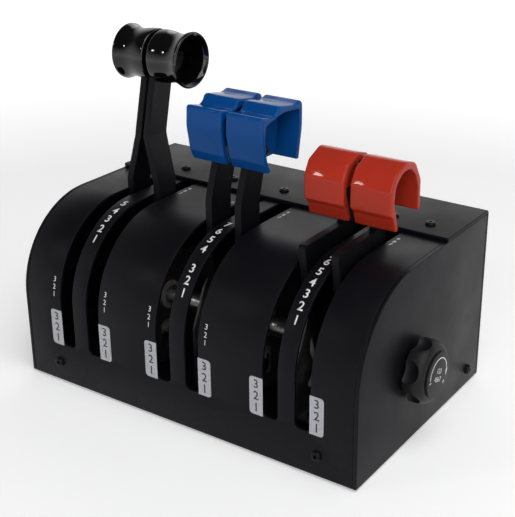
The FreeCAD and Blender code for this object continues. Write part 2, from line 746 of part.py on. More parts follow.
save("friction_discs", *friction_discs())
save("spring_washers", *spring_washers())
save("friction_knob", friction_knob())
save("friction_knob_cap", friction_cap())
save("draw_nut", draw_nut())

bushes = []
sensors = []
nuts = []
for group, centre in groups.items():
    bracket = sensor_bracket()
    bracket.translate(V(centre, 0, 0))
    save(group + "_bracket", bracket)
    for hand, side in sides.items():
        name = group + "_" + hand
        made = {
            "arm_" + name: [lever_arm(group, hand)],
            "sector_" + name: [sector_gear()],
            "knob_" + name: [knob(group, hand)],
            "knob_screw_" + name: [knob_screw(group, hand)],
            "rotor_" + name: list(rotor()),
        }
        for node, solids in made.items():
            placed = [mirrored(s, side) for s in solids]
            for solid in placed:
                solid.translate(V(centre, 0, 0))
            save(node, *placed)
        for store, solid in ((bushes, bush(1)), (sensors, sensor()), (nuts, sensor_nut())):
            solid = mirrored(solid, side)
            solid.translate(V(centre, 0, 0))
            store.append(solid)
save("shaft_bushes", *bushes)
save("position_sensors", *sensors)
save("sensor_nuts", *nuts)
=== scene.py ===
from math import acos, ceil, cos, pi, radians, sin, tan

import bpy
from bpy.props import FloatProperty, FloatVectorProperty, PointerProperty
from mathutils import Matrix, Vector


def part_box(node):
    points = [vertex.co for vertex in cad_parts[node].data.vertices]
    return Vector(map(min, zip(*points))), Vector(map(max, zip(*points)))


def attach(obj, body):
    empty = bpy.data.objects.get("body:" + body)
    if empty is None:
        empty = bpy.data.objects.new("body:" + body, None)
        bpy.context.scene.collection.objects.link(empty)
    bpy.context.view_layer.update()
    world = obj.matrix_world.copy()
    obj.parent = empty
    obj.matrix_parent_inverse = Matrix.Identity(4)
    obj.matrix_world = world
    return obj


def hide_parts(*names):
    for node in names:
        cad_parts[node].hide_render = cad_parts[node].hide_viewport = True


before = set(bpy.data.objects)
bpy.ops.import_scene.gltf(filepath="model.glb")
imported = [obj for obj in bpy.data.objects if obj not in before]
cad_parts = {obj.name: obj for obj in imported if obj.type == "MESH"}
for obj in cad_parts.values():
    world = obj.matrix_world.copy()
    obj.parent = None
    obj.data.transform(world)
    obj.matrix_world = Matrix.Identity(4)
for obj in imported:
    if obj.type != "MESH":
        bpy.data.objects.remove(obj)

bl_info = {
    "name": "Throttle Quadrant Maker",
    "version": (1, 0, 0),
    "blender": (4, 5, 0),
    "location": "View3D > Sidebar > Quadrant",
    "description": "Dresses the packed throttle quadrant: housing, levers, grips, markings and stage",
    "category": "Object",
}

MM = 0.001
SIDES = (("left", -1), ("right", 1))

# places read from the frame, in metres
LID_LOW, LID_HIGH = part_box("lid_and_back")
COVER_LOW, COVER_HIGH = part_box("front_cover")
SHAFT_LOW, SHAFT_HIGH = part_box("pivot_shaft")
FRONT = COVER_LOW.y
BACK = LID_HIGH.y
HALF_WIDTH = LID_HIGH.x
COVER_TOP = COVER_HIGH.z
LID_TOP = LID_HIGH.z
LID_FRONT = LID_LOW.y
PIVOT_Y = (SHAFT_LOW.y + SHAFT_HIGH.y) / 2
PIVOT_Z = (SHAFT_LOW.z + SHAFT_HIGH.z) / 2


# ---------------- settings
def length(label, text, default, low=0.0):
    return FloatProperty(name=label, description=text, default=default, min=low,
                         unit="LENGTH", subtype="DISTANCE", precision=4)


def colour(label, text, default):
    return FloatVectorProperty(name=label, description=text, default=default, size=3,
                               min=0.0, max=1.0, subtype="COLOR")


class HousingSettings(bpy.types.PropertyGroup):
    sheet: length("Sheet", "Thickness of the cover sheet", 0.002)
    lid_sheet: length("Lid sheet", "Thickness of the lid and back", 0.0025)
    nose_radius: length("Nose radius", "Big bend of the cover", 0.056)
    edge: length("Edge break", "Radius broken on sheet edges", 0.0004)
    group_pitch: length("Group pitch", "Distance between the lever groups", 0.075)
    slot_offset: length("Slot offset", "Slot centre from its group's centre", 0.0105)
    slot_width: length("Slot width", "Width of a lever slot", 0.010)
    slot_foot: length("Slot foot", "Height of the slots' lower end", 0.026)
    coat: colour("Coat", "Colour of the powder coat", (0.0032, 0.0031, 0.0050))


class GripSettings(bpy.types.PropertyGroup):
    black: colour("Power grips", "Colour of the power grips", (0.0020, 0.0020, 0.0022))
    blue: colour("Propeller grips", "Colour of the propeller grips", (0.003, 0.064, 0.255))
    red: colour("Mixture grips", "Colour of the mixture grips", (0.450, 0.034, 0.017))
    soft_edge: length("Soft edge", "Moulded radius round each grip's ends", 0.0015)


class MarkingSettings(bpy.types.PropertyGroup):
    ink: colour("Ink", "Colour of the printed markings", (0.80, 0.80, 0.80))
    plate: colour("Plates", "Colour of the end plates", (0.50, 0.50, 0.54))
    letter_ink: colour("Plate figures", "Colour of the figures on the white plates", (0.06, 0.06, 0.07))
    lift: length("Lift", "Height of the print above the coat", 0.00006)


class StageSettings(bpy.types.PropertyGroup):
    floor: colour("Floor", "Colour of the floor", (0.86, 0.86, 0.86))
    lamp: FloatProperty(name="Lamp", description="Power of the main soft box", default=16.0,
                        min=0.0, subtype="POWER")
    room: FloatProperty(name="Room", description="Brightness of the room round the object",
                        default=0.6, min=0.0, max=1.0)
    ceiling: FloatProperty(name="Ceiling", description="Share of that brightness left overhead",
                           default=0.06, min=0.0, max=1.0)
    focal: FloatProperty(name="Focal length", description="Camera focal length in millimetres",
                         default=76.9, min=10.0)


# ---------------- modelling helpers
def clear_selection():
    """Leave edit mode and select nothing."""
    if bpy.context.object and bpy.context.object.mode != "OBJECT":
        bpy.ops.object.mode_set(mode="OBJECT")
    bpy.ops.object.select_all(action="DESELECT")


def activate(obj):
    """Make a piece the active and only selected one."""
    clear_selection()
    obj.select_set(True)
    bpy.context.view_layer.objects.active = obj


def settle(obj):
    """Put the object's place and turn into its mesh."""
    activate(obj)
    bpy.ops.object.transform_apply(location=True, rotation=True, scale=True)


def everything():
    bpy.ops.mesh.select_all(action="SELECT")


def edit_all(obj):
    activate(obj)
    bpy.ops.object.mode_set(mode="EDIT")
    everything()


def done():
    bpy.ops.object.mode_set(mode="OBJECT")


def outward():
    """Turn all faces of the piece being edited outward, and leave edit mode."""
    everything()
    bpy.ops.mesh.normals_make_consistent(inside=False)
    done()


def smooth(obj, angle):
    """Shade smooth, but for edges sharper than an angle in degrees."""
    activate(obj)
    bpy.ops.object.shade_smooth_by_angle(angle=radians(angle))


def apply_modifier(obj, modifier):
    activate(obj)
    bpy.ops.object.modifier_apply(modifier=modifier.name)


def quarter(steps, first=0):
    """Turns of a quarter circle in equal steps, in radians."""
    return [pi / 2 * k / steps for k in range(first, steps + 1)]


def middle_of(node):
    """Middle of a node's box."""
    low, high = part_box(node)
    return (low + high) / 2


def corner_points(corners, i, flatness=0.00002):
    """Points of one corner (a, b, radius) of a closed outline, in metres: an arc, or the corner."""
    a, b, radius = corners[i]
    corner = Vector((a, b))
    if radius <= 0:
        return [corner]
    before = (Vector(corners[i - 1][:2]) - corner).normalized()
    after = (Vector(corners[(i + 1) % len(corners)][:2]) - corner).normalized()
    opening = before.angle(after)
    turn = pi - opening
    run = radius / tan(opening / 2)
    centre = corner + (before + after).normalized() * (radius / sin(opening / 2))
    start = corner + before * run - centre
    sign = 1 if before.x * after.y - before.y * after.x < 0 else -1
    pieces = max(2, ceil(turn / (2 * acos(max(0.0, 1 - flatness / radius)))))
    points = []
    for k in range(pieces + 1):
        angle = sign * turn * k / pieces
        points.append(centre + Vector((start.x * cos(angle) - start.y * sin(angle),
                                       start.x * sin(angle) + start.y * cos(angle))))
    return points


def rounded(corners):
    """Points along a closed outline of corners (a, b, radius)."""
    return [point for i in range(len(corners)) for point in corner_points(corners, i)]


def draw(name, points):
    """Draw a closed outline in edit mode, point by point, and fill it."""
    clear_selection()
    bpy.ops.mesh.primitive_plane_add(size=MM, location=points[0])
    obj = bpy.context.object
    obj.name = name
    settle(obj)
    edit_all(obj)
    bpy.ops.mesh.merge(type="CENTER")
    for previous, point in zip(points, points[1:]):
        bpy.ops.mesh.extrude_region_move(TRANSFORM_OT_translate={"value": point - previous})
    everything()
    bpy.ops.mesh.edge_face_add()
    done()
    return obj


def draw_side(name, corners, x):
    """Outline seen from the side: corners are (y, z, radius)."""
    return draw(name, [Vector((x, p.x, p.y)) for p in rounded(corners)])


def pull(obj, way):
    """Extrude the whole face into a solid."""
    edit_all(obj)
    bpy.ops.mesh.extrude_region_move(TRANSFORM_OT_translate={"value": way})
    outward()
    return obj


def side_solid(name, corners, x0, x1):
    return pull(draw_side(name, corners, x0), Vector((x1 - x0, 0, 0)))


def block(name, low, high):
    """Box between two corners."""
    low, high = Vector(low), Vector(high)
    clear_selection()
    bpy.ops.mesh.primitive_cube_add(size=1.0, location=(low + high) / 2)
    obj = bpy.context.object
    obj.name = name
    obj.scale = high - low
    settle(obj)
    return obj


def bar(name, centre, axis, radius, size, sides=48):
    """Round bar of a length about a centre, along an axis."""
    clear_selection()
    bpy.ops.mesh.primitive_cylinder_add(vertices=sides, radius=radius, depth=size, location=centre)
    obj = bpy.context.object
    obj.name = name
    obj.rotation_euler = Vector((0, 0, 1)).rotation_difference(Vector(axis)).to_euler()
    settle(obj)
    return obj


def carve(obj, tools, operation="DIFFERENCE"):
    """Boolean each tool into the piece and bin the tool."""
    for tool in tools:
        cut = obj.modifiers.new("cut", "BOOLEAN")
        cut.operation = operation
        cut.solver = "EXACT"
        cut.object = tool
        apply_modifier(obj, cut)
        bpy.data.objects.remove(tool)
    return obj


def join(name, parts):
    clear_selection()
    for part in parts:
        part.select_set(True)
    bpy.context.view_layer.objects.active = parts[0]
    bpy.ops.object.join()
    parts[0].name = name
    return parts[0]


def soften(obj, width, segments=3, angle=32.0):
    """Break the sharp edges with an applied bevel, then shade smooth."""
    bevel = obj.modifiers.new("soften", "BEVEL")
    bevel.width = width
    bevel.segments = segments
    bevel.limit_method = "ANGLE"
    bevel.angle_limit = radians(angle)
    bevel.harden_normals = False
    apply_modifier(obj, bevel)
    smooth(obj, angle)
    return obj


def finish_piece(obj, body, material, replaces=()):
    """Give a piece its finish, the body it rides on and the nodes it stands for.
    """
    obj.data.materials.clear()
    obj.data.materials.append(finish(material))
    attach(obj, body)
    if replaces:
        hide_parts(*replaces)
    return obj


# ---------------- shader groups
def fill(node, **values):
    """Set a node's inputs by name; an underscore stands for a space."""
    for label, value in values.items():
        node.inputs[label.replace("_", " ")].default_value = value
    return node


def feed(tree, socket, value):
    """Link an input to an output socket, or give it a fixed value."""
    if isinstance(value, bpy.types.NodeSocket):
        tree.links.new(value, socket)
    else:
        socket.default_value = value


def group(name, output, **inputs):
    """New shader group of number sockets: its tree, what it is given, and the socket it fills."""
    tree = bpy.data.node_groups.new(name, "ShaderNodeTree")
    for label, default in inputs.items():
        socket = tree.interface.new_socket(label, in_out="INPUT", socket_type="NodeSocketFloat")
        socket.default_value = default
    tree.interface.new_socket(output, in_out="OUTPUT", socket_type="NodeSocketFloat")
    given = tree.nodes.new("NodeGroupInput").outputs
    return tree, given, tree.nodes.new("NodeGroupOutput").inputs[output]


def noise(tree, scale, detail=3.0, roughness=0.5):
    """Noise in object space; scale is a number or an output socket."""
    place = tree.nodes.new("ShaderNodeTexCoord")
    node = fill(tree.nodes.new("ShaderNodeTexNoise"), Detail=detail, Roughness=roughness)
    tree.links.new(place.outputs["Object"], node.inputs["Vector"])
    feed(tree, node.inputs["Scale"], scale)
    return node.outputs["Fac"]


def remap(tree, value, low, high, to_low=0.0, to_high=1.0):
    """Clamped linear remap; the target ends are numbers or sockets."""
    node = tree.nodes.new("ShaderNodeMapRange")
    labels = ("Value", "From Min", "From Max", "To Min", "To Max")
    for label, given in zip(labels, (value, low, high, to_low, to_high)):
        feed(tree, node.inputs[label], given)
    return node.outputs["Result"]


def calc(tree, operation, a, b):
    node = tree.nodes.new("ShaderNodeMath")
    node.operation = operation
    for socket, value in zip(node.inputs, (a, b)):
        feed(tree, socket, value)
    return node.outputs["Value"]


def grain_group():
    """Orange-peel height: small soft blisters over a slower swell."""
    tree, given, height = group("coat_grain", "Height", Scale=900.0)
    fine = noise(tree, given["Scale"], 2.0)
    slow = noise(tree, calc(tree, "MULTIPLY", given["Scale"], 0.23), 1.0)
    tree.links.new(calc(tree, "ADD", fine, calc(tree, "MULTIPLY", slow, 0.6)), height)


def wear_group():
    """Mask of rubbed edges: convex creases, broken up by noise."""
    tree, given, mask = group("rubbed_edges", "Mask", Amount=0.5)
    shape = tree.nodes.new("ShaderNodeNewGeometry")
    crease = remap(tree, shape.outputs["Pointiness"], 0.52, 0.60)
    patches = remap(tree, noise(tree, 260.0, 4.0), 0.42, 0.66)
    rubbed = calc(tree, "MULTIPLY", crease, patches)
    tree.links.new(calc(tree, "MULTIPLY", rubbed, given["Amount"]), mask)


def dust_group():
    """Mask of settled dust and handling marks, strongest on faces that look up."""
    tree, given, mask = group("settled_dust", "Mask", Amount=0.3)
    shape = tree.nodes.new("ShaderNodeNewGeometry")
    split = tree.nodes.new("ShaderNodeSeparateXYZ")
    tree.links.new(shape.outputs["Normal"], split.inputs["Vector"])
    upward = remap(tree, split.outputs["Z"], 0.2, 1.0, 0.15, 1.0)
    specks = remap(tree, noise(tree, 1500.0, 2.0, 0.7), 0.66, 0.76)
    haze = remap(tree, noise(tree, 22.0, 4.0), 0.35, 0.75, 0.0, 0.35)
    dusty = calc(tree, "MULTIPLY", calc(tree, "MAXIMUM", specks, haze), upward)
    tree.links.new(calc(tree, "MULTIPLY", dusty, given["Amount"]), mask)


def smudge_group():
    """Roughness of a polished moulding that has been handled: clean gloss with duller smears."""
    tree, given, roughness = group("finger_smudges", "Roughness", Gloss=0.08, Smear=0.2)
    smears = noise(tree, 55.0, 5.0, 0.62)
    tree.links.new(remap(tree, smears, 0.5, 0.72, given["Gloss"], given["Smear"]), roughness)


def shader(name):
    """New material with its Principled shader ready; the frame has its own under the plain names."""
    material = bpy.data.materials.new(name + "_finish")
    material.use_nodes = True
    return material, material.node_tree, material.node_tree.nodes["Principled BSDF"]


def use_group(tree, name, **values):
    node = tree.nodes.new("ShaderNodeGroup")
    node.node_tree = bpy.data.node_groups[name]
    return fill(node, **values)


def tint(tree, base, other, mask):
    """Mix of two colours by a mask; colours are triples or sockets."""
    node = tree.nodes.new("ShaderNodeMix")
    node.data_type = "RGBA"
    tree.links.new(mask, node.inputs["Factor"])
    for socket, value in ((node.inputs[6], base), (node.inputs[7], other)):
        feed(tree, socket, value if isinstance(value, bpy.types.NodeSocket) else (*value, 1.0))
    return node.outputs[2]


def bump(tree, bsdf, height, strength, distance):
    node = fill(tree.nodes.new("ShaderNodeBump"), Strength=strength, Distance=distance)
    tree.links.new(height, node.inputs["Height"])
    tree.links.new(node.outputs["Normal"], bsdf.inputs["Normal"])


def coated_metal(name, base, grain=900.0, depth=0.00004, rough=(0.38, 0.48), specular=0.12):
    """Powder coat on metal: satin, blistered, rubbed a little on its edges and faintly dusty."""
    material, tree, bsdf = shader(name)
    wear = use_group(tree, "rubbed_edges", Amount=0.35)
    dust = use_group(tree, "settled_dust", Amount=0.012)
    worn = tint(tree, base, tuple(min(1.0, c * 3.2) for c in base), wear.outputs["Mask"])
    tree.links.new(tint(tree, worn, (0.20, 0.20, 0.20), dust.outputs["Mask"]), bsdf.inputs["Base Color"])
    patchy = noise(tree, 35.0, 4.0)
    tree.links.new(remap(tree, patchy, 0.3, 0.7, *rough), bsdf.inputs["Roughness"])
    fill(bsdf, Specular_IOR_Level=specular)
    peel = use_group(tree, "coat_grain", Scale=grain)
    bump(tree, bsdf, peel.outputs["Height"], 0.35, depth)
    return material


def polished_moulding(name, base, gloss=0.10, specular=0.3, coat=0.1):
    """Glossy moulded grip with faint smears and a slow surface swell."""
    material, tree, bsdf = shader(name)
    depth_tone = remap(tree, noise(tree, 30.0, 2.0), 0.3, 0.7)
    darker = tuple(c * 0.9 for c in base)
    tree.links.new(tint(tree, darker, base, depth_tone), bsdf.inputs["Base Color"])
    smudges = use_group(tree, "finger_smudges", Gloss=gloss, Smear=gloss + 0.10)
    tree.links.new(smudges.outputs["Roughness"], bsdf.inputs["Roughness"])
    fill(bsdf, Specular_IOR_Level=specular, Coat_Weight=coat, Coat_Roughness=0.06)
    bump(tree, bsdf, noise(tree, 90.0, 2.0), 0.12, 0.0001)
    return material


def plain_metal(name, base, rough=0.35, scale=400.0):
    """Bare machined or plated metal with fine uneven tone."""
    material, tree, bsdf = shader(name)
    fill(bsdf, Metallic=1.0)
    tone = noise(tree, scale, 4.0)
    dull = tuple(c * 0.78 for c in base)
    tree.links.new(tint(tree, base, dull, remap(tree, tone, 0.35, 0.65)), bsdf.inputs["Base Color"])
    tree.links.new(remap(tree, tone, 0.3, 0.7, rough * 0.8, rough * 1.3), bsdf.inputs["Roughness"])
    return material


def plain_moulding(name, base, rough=0.45, grain=1400.0):
    """Dull moulded plastic, rubber or board with a fine spark texture."""
    material, tree, bsdf = shader(name)
    tone = noise(tree, 60.0, 3.0)
    light = tuple(min(1.0, c * 1.25 + 0.002) for c in base)
    tree.links.new(tint(tree, base, light, remap(tree, tone, 0.35, 0.7)), bsdf.inputs["Base Color"])
    tree.links.new(remap(tree, tone, 0.3, 0.7, rough * 0.9, rough * 1.15), bsdf.inputs["Roughness"])
    fill(bsdf, Specular_IOR_Level=0.2)
    peel = use_group(tree, "coat_grain", Scale=grain)
    bump(tree, bsdf, peel.outputs["Height"], 0.25, 0.00003)
    return material


def printed_ink(name, base):
    """Screen print: nearly opaque, a little thin in places."""
    material, tree, bsdf = shader(name)
    thin = tuple(c * 0.82 for c in base)
    patches = remap(tree, noise(tree, 800.0, 3.0), 0.45, 0.7)
    tree.links.new(tint(tree, base, thin, patches), bsdf.inputs["Base Color"])
    fill(bsdf, Roughness=0.55, Specular_IOR_Level=0.2)
    return material


def finish(name):
    return bpy.data.materials[name + "_finish"]


# ---------------- shared shapes
def at(y, z, radius=0.0):
    """Corner of a side outline, in millimetres from the front face and the base."""
    return (FRONT + y * MM, z * MM, radius * MM)


ARM_THICK = 4.5 * MM


def settings():
    return bpy.context.scene.quadrant_housing


def centres():
    pitch = settings().group_pitch
    return (("power", -pitch), ("propeller", 0.0), ("mixture", pitch))


def nose():
    """Centre of the cover's big bend, in Y and Z, and its radius."""
    radius = settings().nose_radius
    return FRONT + radius, COVER_TOP - radius, radius


def on_cover(x, run, lift):
    """Point on the cover: run is measured up the front and round the bend from the base."""
    nose_y, nose_z, radius = nose()
    bend = radius * pi / 2
    if run <= nose_z:
        return Vector((x, FRONT - lift, run))
    if run <= nose_z + bend:
        angle = (run - nose_z) / radius
        reach = radius + lift
        return Vector((x, nose_y - reach * cos(angle), nose_z + reach * sin(angle)))
    return Vector((x, nose_y + run - nose_z - bend, COVER_TOP + lift))


def wrap(obj):
    """Lay a flat print, drawn in X and Z with its height in -Y, on the cover."""
    for vertex in obj.data.vertices:
        vertex.co = on_cover(vertex.co.x, vertex.co.z, -vertex.co.y)
    return obj


def turned(name, middle, side, outline):
    """Turn an outline of (run along X, radius) about the X axis through a point."""
    obj = draw(name, [middle + Vector((side * run, 0, reach)) for run, reach in outline])
    edit_all(obj)
    bpy.ops.mesh.delete(type="ONLY_FACE")
    everything()
    bpy.ops.mesh.spin(steps=96, angle=2 * pi, center=middle, axis=(1, 0, 0))
    everything()
    bpy.ops.mesh.remove_doubles(threshold=0.00001)
    bpy.ops.mesh.delete_loose()
    outward()
    return obj


def bevelled_edges(obj, test, width, segments=6):
    """Bevel in edit mode the edges that pass a test of their two ends."""
    activate(obj)
    bpy.ops.object.mode_set(mode="EDIT")
    bpy.ops.mesh.select_mode(type="EDGE")
    bpy.ops.mesh.select_all(action="DESELECT")
    done()
    mesh = obj.data
    for edge in mesh.edges:
        ends = [mesh.vertices[i].co for i in edge.vertices]
        edge.select = test(*ends)
    bpy.ops.object.mode_set(mode="EDIT")
    bpy.ops.mesh.bevel(offset=width, segments=segments)
    bpy.ops.mesh.select_mode(type="VERT")
    done()
    return obj


def slice_level(obj, height):
    """Cut an edge loop round the piece at a height."""
    edit_all(obj)
    bpy.ops.mesh.bisect(plane_co=(0, 0, height), plane_no=(0, 0, 1))
    done()
    return obj


# ---------------- operators: housing
class QUADRANT_OT_finishes(bpy.types.Operator):
    """Make the shader groups and every finish"""
    bl_idname = "quadrant.finishes"
    bl_label = "Mix finishes"

    def execute(self, context):
        grain_group()
        wear_group()
        dust_group()
        smudge_group()
        scene = context.scene
        coat = tuple(scene.quadrant_housing.coat)
        grips = scene.quadrant_grips
        prints = scene.quadrant_markings
        coated_metal("powder_coat", coat)
        # Lever arms: the housing coat darkened to 0.6, as painted shade on the arms
        coated_metal("arm_coat", tuple(c * 0.6 for c in coat), grain=1200.0, rough=(0.38, 0.48))
        coated_metal("black_screw", (0.004, 0.004, 0.005), grain=2500.0, depth=0.00001,
                     rough=(0.25, 0.35), specular=0.12)
        polished_moulding("gloss_black", tuple(grips.black), gloss=0.06, specular=0.4)
        polished_moulding("gloss_blue", tuple(grips.blue), gloss=0.08, specular=0.05, coat=0.12)
        polished_moulding("gloss_red", tuple(grips.red), gloss=0.08, specular=0.10, coat=0.12)
        plain_moulding("dark_plastic", (0.007, 0.007, 0.008), rough=0.45)
        plain_moulding("rubber", (0.016, 0.016, 0.016), rough=0.75)
        plain_moulding("acetal", (0.22, 0.21, 0.20), rough=0.4)
        plain_moulding("circuit_board", (0.008, 0.09, 0.04), rough=0.35)
        plain_moulding("friction_lining", (0.20, 0.14, 0.09), rough=0.85)
        plain_metal("zinc_plate", (0.36, 0.36, 0.37), rough=0.42)
        plain_metal("bright_steel", (0.38, 0.38, 0.37), rough=0.32)
        plain_metal("brass", (0.70, 0.50, 0.20), rough=0.3)
        printed_ink("white_ink", tuple(prints.ink))
        printed_ink("plate_ink", tuple(prints.plate))
        printed_ink("grey_ink", tuple(prints.letter_ink))
        return {"FINISHED"}


class QUADRANT_OT_cover(bpy.types.Operator):
    """Fold the curved cover and cut its six lever slots"""
    bl_idname = "quadrant.cover"
    bl_label = "Fold cover"

    def execute(self, context):
        own = settings()
        sheet = own.sheet
        rear = COVER_HIGH.y
        corners = [(FRONT, 0, 0), (FRONT, COVER_TOP, own.nose_radius), (rear, COVER_TOP, 0),
                   (rear, COVER_TOP - sheet, 0),
                   (FRONT + sheet, COVER_TOP - sheet, own.nose_radius - sheet), (FRONT + sheet, 0, 0)]
        cover = side_solid("cover", corners, COVER_LOW.x, COVER_HIGH.x)
        slots = []
        past_lid_edge, foot_corner = 0.0055, 0.003
        foot = own.slot_foot
        for _, centre in centres():
            for _, side in SIDES:
                x = centre + side * own.slot_offset
                slot = block("slot", (x - own.slot_width / 2, FRONT - sheet, foot),
                             (x + own.slot_width / 2, LID_FRONT + past_lid_edge, LID_TOP + sheet))
                slots.append(bevelled_edges(
                    slot, lambda a, b: max(a.z, b.z) < foot + MM and abs(a.x - b.x) < MM, foot_corner))
        carve(cover, slots)
        soften(cover, own.edge)
        finish_piece(cover, "housing", "powder_coat", ["front_cover"])
        return {"FINISHED"}


class QUADRANT_OT_shell(bpy.types.Operator):
    """Cut the side plates and bend the lid and back"""
    bl_idname = "quadrant.shell"
    bl_label = "Side plates and lid"

    def execute(self, context):
        own = settings()
        inside_back = BACK - own.lid_sheet
        plate = [(FRONT, 0, 0), (FRONT, COVER_TOP, own.nose_radius), (inside_back, COVER_TOP, 0.0006),
                 (inside_back, 0, 0)]
        for hand, _ in SIDES:
            node = hand + "_side_plate"
            low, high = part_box(node)
            piece = side_solid("side_plate_" + hand, plate, low.x, high.x)
            soften(piece, own.edge)
            finish_piece(piece, "housing", "powder_coat", [node])
        bent = [(LID_FRONT, COVER_TOP, 0), (LID_FRONT, LID_TOP, 0), (BACK, LID_TOP, 0.003), (BACK, 0, 0),
                (inside_back, 0, 0), (inside_back, COVER_TOP, 0.0005)]
        lid = side_solid("lid_and_back_panel", bent, -HALF_WIDTH, HALF_WIDTH)
        low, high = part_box("usb_socket")
        gap = Vector((0.0003, 0.01, 0.0003))
        carve(lid, [block("usb_window", low - gap, high + gap)])
        soften(lid, own.edge)
        finish_piece(lid, "housing", "powder_coat", ["lid_and_back"])
        return {"FINISHED"}


class QUADRANT_OT_inside(bpy.types.Operator):
    """Give the hidden works and the base their finishes"""
    bl_idname = "quadrant.inside"
    bl_label = "Works inside"

    def execute(self, context):
        chosen = {"base_tray": "powder_coat", "rubber_feet": "rubber",
                  "controller_board": "circuit_board", "board_pillars": "brass", "draw_nut": "brass",
                  "shaft_bushes": "acetal",
                  "friction_discs": "friction_lining", "position_sensors": "dark_plastic"}
        for name in ("pivot_shaft", "spacer_tubes", "spring_washers", "usb_socket", "sensor_nuts"):
            chosen[name] = "bright_steel"
        for name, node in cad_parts.items():
            if name.endswith("_bracket"):
                chosen[name] = "zinc_plate"
            elif name.startswith(("sector_", "rotor_")):
                chosen[name] = "acetal"
            elif "screw" in name:
                chosen[name] = "black_screw"
            if name in chosen:
                node.data.materials.clear()
                node.data.materials.append(finish(chosen[name]))
        return {"FINISHED"}


# ---------------- operators: levers
ARM_SIDES = {
    "power": [at(64.2, 62, 20), at(64.2, 147, 30), at(76.0, 196, 7.5), at(91.5, 192, 7.5),
              at(81.0, 147, 30), at(80.3, 70, 24), at(75, 46), at(49, 46)],
    "propeller": [at(47.2, 66, 24), at(47.2, 124, 20), at(60.0, 162, 2), at(76.5, 158, 2),
                  at(66.0, 124, 20), at(66.0, 70, 24), at(75, 46), at(49, 46)],
    "mixture": [at(35.5, 90, 18), at(31.0, 118, 2.5), at(72.5, 118, 2), at(72.5, 151, 2),
                at(83.6, 151, 2), at(82.8, 104, 8), at(54.0, 100, 8), at(75, 46), at(49, 46)],
}


HUB_RADIUS, SHAFT_BORE = 0.013, 0.00405
POWER_BEND = (0.118, 0.147)        # heights between which the power arms are set over


class QUADRANT_OT_arms(bpy.types.Operator):
    """Cut the six lever arms and set the double bend in the power pair"""
    bl_idname = "quadrant.arms"
    bl_label = "Lever arms"

    def execute(self, context):
        for kind, centre in centres():
            for hand, side in SIDES:
                name = kind + "_" + hand
                inner = centre + side * (settings().slot_offset - ARM_THICK / 2)
                outer = inner + side * ARM_THICK
                arm = side_solid("lever_arm_" + name, ARM_SIDES[kind], *sorted((inner, outer)))
                if kind == "power":
                    for height in POWER_BEND:
                        slice_level(arm, height)
                    set_over = inner_face(name) - inner
                    for vertex in arm.data.vertices:
                        share = (vertex.co.z - POWER_BEND[0]) / (POWER_BEND[1] - POWER_BEND[0])
                        vertex.co.x += set_over * min(1.0, max(0.0, share))
                middle = ((inner + outer) / 2, PIVOT_Y, PIVOT_Z)
                carve(arm, [bar("hub", middle, (1, 0, 0), HUB_RADIUS, ARM_THICK, 72)], "UNION")
                carve(arm, [bar("bore", middle, (1, 0, 0), SHAFT_BORE, 0.02)])
                soften(arm, 0.00045)
                # the arms take the housing coat darkened as painted shade
                finish_piece(arm, "lever_" + name, "arm_coat", ["arm_" + name])
        return {"FINISHED"}


def inner_face(name):
    """X of the face, at the top of an arm, that looks at its group's centre."""
    low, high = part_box("arm_" + name)
    return low.x if name.endswith("right") else high.x


# ---------------- operators: grips
class QUADRANT_OT_power_grips(bpy.types.Operator):
    """Turn the black flared tubes of the power levers"""
    bl_idname = "quadrant.power_grips"
    bl_label = "Power grips"

    def execute(self, context):
        for hand, side in SIDES:
            name = "power_" + hand
            low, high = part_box("knob_" + name)
            near = low.x if side > 0 else high.x
            middle = Vector((near, *middle_of("knob_" + name).yz))
            length = high.x - low.x
            rim = (high.z - low.z) / 2
            inner_rim, waist, bore, mouth, lip = rim - 0.0009, rim - 0.0020, 0.0129, 0.0136, 0.0012
            dish, throat, web_thick = 0.00256, 0.005, 0.0025
            web = side * (inner_face(name) - near) + ARM_THICK + 0.0001
            outline = [(0.0, bore), (0.0, inner_rim - lip)]
            outline += [(lip - lip * cos(turn), inner_rim - lip + lip * sin(turn))
                        for turn in quarter(6, 1)]
            for k in range(1, 24):
                share = k / 24
                straight = inner_rim + (rim - inner_rim) * share
                dip = (straight - waist) * sin(pi * share ** 1.35) ** 1.3
                outline.append((lip + (length - 2 * lip) * share, straight - dip))
            outline += [(length - lip + lip * sin(turn), rim - lip + lip * cos(turn))
                        for turn in quarter(6)]
            outline += [(length - dish * sin(turn),
                         mouth + (rim - lip - mouth) * (1 - sin(turn)) ** 1.5) for turn in quarter(5, 1)]
            outline += [(length - throat, bore), (web + web_thick, bore), (web + web_thick, 0.0),
                        (web, 0.0), (web, bore)]
            grip = turned("grip_" + name, middle, side, outline)
            notch = [at(62.9, 150), at(75.2, 196), at(92.6, 192), at(80.5, 150)]
            ends = sorted((near - side * 0.001, near + side * web))
            carve(grip, [side_solid("arm_notch", notch, *ends)])
            smooth(grip, 40)
            finish_piece(grip, "lever_" + name, "gloss_black", ["knob_" + name])
        return {"FINISHED"}


